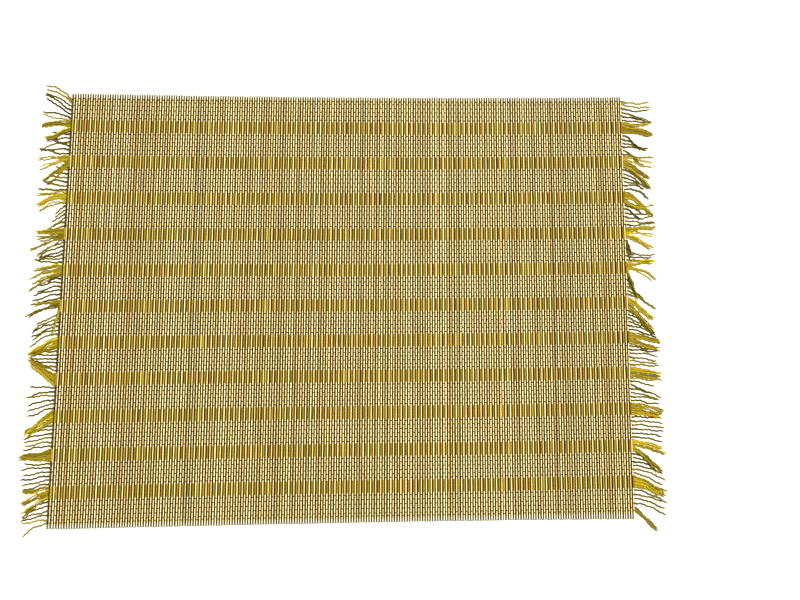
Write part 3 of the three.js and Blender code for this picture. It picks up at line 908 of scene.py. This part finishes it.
class MAT_OT_strip_threads(bpy.types.Operator):
    """Weaves the single threads of each pale strip"""

    bl_idname = "placemat.strip_threads"
    bl_label = "Single threads"

    def execute(self, context):
        slats = slat_list()
        draw = random.Random(STRIP_SEED)
        rows = [row for row in thread_rows() if row.band is None]
        count = context.scene.warp_sizes.strip_threads
        for first in range(0, len(rows), count):
            strip = rows[first:first + count]
            colours = [[single_colour(draw, in_selvedge(row, rows)) for _ in slats] for row in strip]
            add_threads(strip, slats, colours, f"strip_threads_{first // count + 1:02d}")
        return {"FINISHED"}


class MAT_OT_band_threads(bpy.types.Operator):
    """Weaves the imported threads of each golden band"""

    bl_idname = "placemat.band_threads"
    bl_label = "Golden bands"

    def execute(self, context):
        slats = slat_list()
        tones = stitch_tones(len(slats))
        draw = random.Random(BAND_SEED)
        rows = thread_rows()
        for k in range(len(BAND_SHIFTS)):
            band = [row for row in rows if row.band == k]
            colours = [
                thread_colour(tone + draw.gauss(0, BAND_TONE_SPREAD), draw.uniform(*BAND_SHADES))
                for tone in tones
            ]
            name = f"band_threads_{k + 1:02d}"
            add_threads(band, slats, [colours] * len(band), name, [BAND_NODE.format(k + 1)])
        return {"FINISHED"}


def along_route(corners, steps):
    """Points of a smooth curve through the corners, the same number between each two."""
    ends = [2 * corners[0] - corners[1], *corners, 2 * corners[-1] - corners[-2]]
    points = []
    spans = len(corners) - 1
    for step in range(steps + 1):
        # Just short of the end, so that the last point falls in the last span
        place = min(step / steps * spans, spans - 1e-6)
        span = int(place)
        t = place - span
        a, b, c, d = ends[span:span + 4]
        points.append(
            0.5 * (2 * b + (c - a) * t + (2 * a - 5 * b + 4 * c - d) * t * t
                   + (3 * b - a - 3 * c + d) * t ** 3)
        )
    return points


def gathered(share):
    """How much of its way to the lock's middle a strand has gone at that share of the reach."""
    return share * (1.6 - 0.6 * share)


def crimped(points, phase, slow):
    """The points of a strand with the fine waves left by the weave, and with slow waves."""
    fringe = bpy.context.scene.fringe_sizes
    length = 0.0
    waved = []
    for before, after in zip([points[0], *points], points):
        step = after - before
        length += step.length
        aside = Vector((-step.y, step.x, 0)).normalized()
        grow = min(length / CRIMP_START, 1)
        fine = fringe.crimp * math.sin(length * 2 * math.pi / CRIMP_PITCH + phase)
        wide = fringe.sway * math.sin(length * 2 * math.pi / slow + 3 * phase)
        point = after + grow * (fine + wide) * aside
        point.z = max(point.z, fringe.strand_height / 2)
        waved.append(point)
    return waved


def strand_points(side, row, lock, index, slats, draw, phase, slow):
    """The centreline of one loose strand, from the edge slat to its tip on the table."""
    scene = bpy.context.scene
    warp = scene.warp_sizes
    number = 0 if side < 0 else len(slats) - 1
    slat = slats[number]
    middle = slat.x + lean(slat.x, row.y)
    edge = middle + side * slat.width / 2
    x = middle + side * ROOT_SHARE * slat.width
    y = row.y + wander(x, row.y)
    z = thread_z(slat, number, row)
    packed = lock.threads > FEW_THREADS
    place = index - (lock.threads - 1) / 2
    at_root = place * warp.band_width / warp.band_threads
    at_tip = place * lock.width / max(lock.threads - 1, 1) * MM
    reach = lock.reach * draw.uniform(SHORTEST_IN_LOCK if packed else SHORTEST_ALONE, LONGEST) * MM
    ground = scene.fringe_sizes.strand_height / 2
    stack = (lock.lift + (LOCK_STACK if index % 2 and packed else 0)) * MM
    strays = [stray(draw, most) for most in STRAND_STRAYS]
    bend = Vector((edge + side * BEND_REACH, y, (z + ground) / 2 + BEND_RISE))
    corners = [Vector((x, y, z)), bend]
    for share, rise, off in zip((1 / 3, 2 / 3, 1), (lock.third, lock.two_thirds, lock.tip), strays):
        up = y + rise * MM + gathered(share) * (at_root - at_tip) + off
        height = ground + stack * min(1, share / STACKED_FROM)
        corners.append(Vector((edge + side * reach * share, up, height)))
    return crimped(along_route(corners, STRAND_STEPS), phase, slow)


def oval(width, height, count):
    """A section of that many corners on an oval, clockwise, as (across, up) pairs."""
    turns = [-2 * math.pi * step / count for step in range(count)]
    return [(math.cos(turn) * width / 2, math.sin(turn) * height / 2) for turn in turns]


def side_fibres(points, side, draw):
    """The frayed fibres along a strand, each of three points, which lean towards its tip."""
    length = bpy.context.scene.fringe_sizes.fibre_length
    for _ in range(SIDE_FIBRES):
        start = points[draw.randrange(POINTS_CLEAR_OF_ROOT, len(points) - POINTS_CLEAR_OF_TIP)]
        run = Vector((side * draw.uniform(*FIBRE_ALONG), draw.uniform(*FIBRE_ACROSS), 0)) * length
        bow = Vector((-run.y, run.x, 0)) * draw.uniform(*FIBRE_BOW) + Vector((0, 0, FIBRE_LIFT))
        yield [start, start + 0.5 * run + bow, start + run]


def tip_fibres(points, draw):
    """The frayed fibres that fan out from a strand's tip, each of three points."""
    fringe = bpy.context.scene.fringe_sizes
    heading = (points[-1] - points[-4]).normalized()
    start = points[-2]
    for _ in range(TIP_FIBRES):
        turn = Matrix.Rotation(draw.uniform(*TIP_FIBRE_TURN), 3, "Z")
        run = turn @ heading * fringe.fibre_length * draw.uniform(*TIP_FIBRE_LENGTHS)
        end = start + run + Vector((0, stray(draw, TIP_FIBRE_STRAY), 0))
        fibre = [start, start + run * 0.5, end]
        for point in fibre:
            point.z = max(point.z, FIBRE_SHARE * fringe.strand_height / 2)
        yield fibre


def add_strand(bm, layer, points, section, radii, colour):
    """Adds one swept strand to the bmesh, in one colour."""
    mesh = sweep(points, section, radii)
    for vert in append_mesh(bm, mesh):
        vert[layer] = (*colour, 1)
    bpy.data.meshes.remove(mesh)


def add_fringe(side, locks, slats, rows):
    """The loose ends of all the threads on one side, gathered in locks."""
    count = sum(lock.threads for lock in locks)
    if count != len(rows):
        raise ValueError(f"the locks hold {count} of {len(rows)} threads")
    draw = random.Random(FRINGE_SEEDS[side])
    fringe = bpy.context.scene.fringe_sizes
    across = FIBRE_SHARE * fringe.strand_width / 2
    up = FIBRE_SHARE * fringe.strand_height / 2
    section = oval(fringe.strand_width, fringe.strand_height, STRAND_SIDES)
    hair = ((-across, 0), (0, -up), (across, up * 2 / 3))
    bm = bmesh.new()
    layer = bm.verts.layers.float_color.new("thread_colour")
    threads = iter(rows)
    for lock in locks:
        phase = draw.uniform(0, 2 * math.pi)
        slow = draw.uniform(*SWAY_PITCHES) * MM
        spread = LOCK_PHASES if lock.threads > FEW_THREADS else math.pi
        for index in range(lock.threads):
            row = next(threads)
            banded = row.band is not None
            own = phase + draw.uniform(-1, 1) * spread
            points = strand_points(side, row, lock, index, slats, draw, own, slow)
            size = BAND_STRAND if banded else SINGLE_STRAND
            radii = [size] * (len(points) - len(TIP_TAPER)) + [share * size for share in TIP_TAPER]
            colour = loose_colour(draw, banded, in_selvedge(row, rows), side)
            add_strand(bm, layer, points, section, radii, colour)
            for fibre in side_fibres(points, side, draw):
                add_strand(bm, layer, fibre, hair, SIDE_FIBRE_TAPER, colour)
            for fibre in tip_fibres(points, draw):
                add_strand(bm, layer, fibre, hair, TIP_FIBRE_TAPER, colour)
    node = FRINGE_NODES[side]
    finish_threads(node + "_threads", bm, thread_material(woven=False), [node])


class MAT_OT_fringes(bpy.types.Operator):
    """Lays out the loose thread ends at the left and right of the mat"""

    bl_idname = "placemat.fringes"
    bl_label = "Fringes"

    def execute(self, context):
        slats = slat_list()
        rows = thread_rows()
        add_fringe(-1, LEFT_LOCKS, slats, rows)
        add_fringe(1, RIGHT_LOCKS, slats, rows)
        return {"FINISHED"}


class MAT_OT_sheet(bpy.types.Operator):
    """Does nothing: the slats, threads and fringes are left as the earlier steps made them"""

    bl_idname = "placemat.sheet"
    bl_label = "Woven sheet"

    def execute(self, context):
        return {"FINISHED"}


def add_table(scene):
    """The pale table top under the mat."""
    bm = bmesh.new()
    bmesh.ops.create_grid(bm, x_segments=8, y_segments=8, size=scene.stage_sizes.table_width / 2)
    table = add_object("table", to_mesh("table", bm))
    material, _, shader = new_material("pale_table")
    shader.inputs["Base Color"].default_value = (*scene.mat_colours.table, 1)
    shader.inputs["Roughness"].default_value = 0.8
    table.data.materials.append(material)


def add_light(scene):
    """The even light from all round, and the stronger one from the right."""
    stage = scene.stage_sizes
    world = bpy.data.worlds.new("soft_room")
    world.use_nodes = True
    background = world.node_tree.nodes["Background"]
    background.inputs["Color"].default_value = (1, 1, 1, 1)
    background.inputs["Strength"].default_value = stage.sky
    scene.world = world
    light = bpy.data.lights.new("window", "SUN")
    light.energy = stage.sun
    light.angle = stage.sun_blur
    flat = Vector((math.cos(stage.sun_bearing), math.sin(stage.sun_bearing), 0))
    way = flat * math.cos(stage.sun_height) + Vector((0, 0, math.sin(stage.sun_height)))
    lamp = add_object("window", light)
    lamp.location = way * LAMP_DISTANCE
    lamp.rotation_euler = (-way).to_track_quat("-Z", "Y").to_euler()


def add_camera(scene):
    """The camera, almost straight above the mat."""
    lens = bpy.data.cameras.new("camera")
    lens.lens = scene.stage_sizes.lens
    lens.sensor_width = SENSOR_WIDTH
    lens.clip_start = NEAREST_VIEW
    camera = add_object("camera", lens)
    camera.location = CAMERA_PLACE
    camera.rotation_euler = [math.radians(angle) for angle in CAMERA_TURN]
    scene.camera = camera


class MAT_OT_stage(bpy.types.Operator):
    """Makes the pale table, the soft light and the camera"""

    bl_idname = "placemat.stage"
    bl_label = "Stage"

    def execute(self, context):
        add_table(context.scene)
        add_light(context.scene)
        add_camera(context.scene)
        context.scene.view_settings.view_transform = "Standard"
        return {"FINISHED"}


class MAT_PT_panel(bpy.types.Panel):
    """The placemat's sizes, colours and steps in the sidebar"""

    bl_label = "Placemat"
    bl_idname = "MAT_PT_panel"
    bl_space_type = "VIEW_3D"
    bl_region_type = "UI"
    bl_category = "Placemat"

    def draw(self, context):
        for group_name in SETTINGS:
            group = getattr(context.scene, group_name)
            box = self.layout.box()
            for setting in group.bl_rna.properties:
                if setting.identifier not in ("rna_type", "name"):
                    box.prop(group, setting.identifier)
        for step in STEPS:
            self.layout.operator(step.bl_idname)


SETTINGS = {
    "mat_sizes": MatSizes,
    "warp_sizes": WarpSizes,
    "fringe_sizes": FringeSizes,
    "mat_colours": MatColours,
    "stage_sizes": StageSizes,
}
STEPS = (
    MAT_OT_stage,
    MAT_OT_slats,
    MAT_OT_strip_threads,
    MAT_OT_band_threads,
    MAT_OT_fringes,
    MAT_OT_sheet,
)


def register():
    for group in SETTINGS.values():
        bpy.utils.register_class(group)
    for name, group in SETTINGS.items():
        setattr(bpy.types.Scene, name, PointerProperty(type=group))
    for step in (*STEPS, MAT_PT_panel):
        bpy.utils.register_class(step)


def unregister():
    for step in reversed((*STEPS, MAT_PT_panel)):
        bpy.utils.unregister_class(step)
    for name, group in SETTINGS.items():
        delattr(bpy.types.Scene, name)
        bpy.utils.unregister_class(group)


def main():
    register()
    bpy.ops.placemat.stage()
    bpy.ops.placemat.slats()
    bpy.ops.placemat.strip_threads()
    bpy.ops.placemat.band_threads()
    bpy.ops.placemat.fringes()
    bpy.ops.placemat.sheet()


if __name__ == "__main__":
    main()
